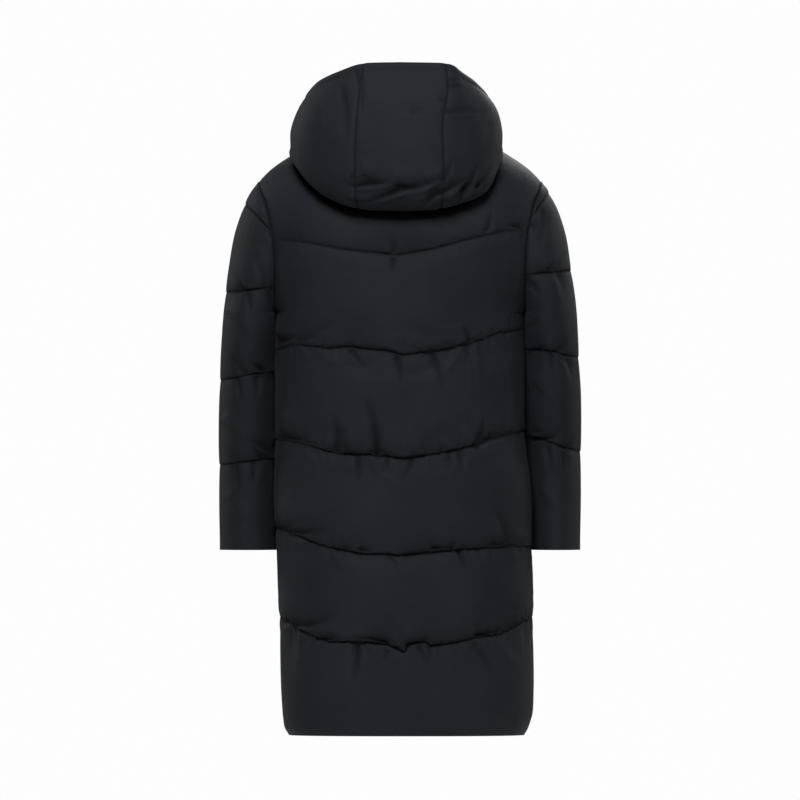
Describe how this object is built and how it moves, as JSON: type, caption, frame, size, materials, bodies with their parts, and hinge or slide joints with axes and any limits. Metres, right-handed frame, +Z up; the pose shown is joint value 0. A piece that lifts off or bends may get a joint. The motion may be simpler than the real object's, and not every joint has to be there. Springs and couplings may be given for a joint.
{
  "type": "long puffer coat",
  "caption": "Long black quilted coat with V-shaped lines, a lowered hood and a front zip, filled out as worn and open at the neck, hem and cuffs.",
  "frame": {"origin": "between the shoulders, at the height where the shoulder seams meet the neck seam", "axes": "+Z up, +Y out of the coat's back, +X towards the wearer's left"},
  "size_m": [0.6355, 0.367, 1.174],
  "materials": {
    "cloth": "matte woven polyester",
    "zip_tape": "woven tape",
    "zip_teeth": "moulded",
    "black_metal": "satin black"
  },
  "bodies": {
    "coat": {"back": "cloth", "front_left": "cloth", "front_right": "cloth", "sleeve_left": "cloth", "sleeve_right": "cloth", "hood_centre": "cloth", "hood_left": "cloth", "hood_right": "cloth", "zip_tape_left": "zip_tape", "zip_tape_right": "zip_tape", "zip_chain": "zip_teeth", "zip_slider": "black_metal"},
    "pull": {"zip_pull": "black_metal"}
  },
  "joints": [
    {"name": "pull_swing", "type": "hinge", "parent": "coat", "child": "pull", "pos_m": [0, -0.1248, 0.004], "axis": [-1, 0, 0], "range_deg": [0, 170]}
  ]
}
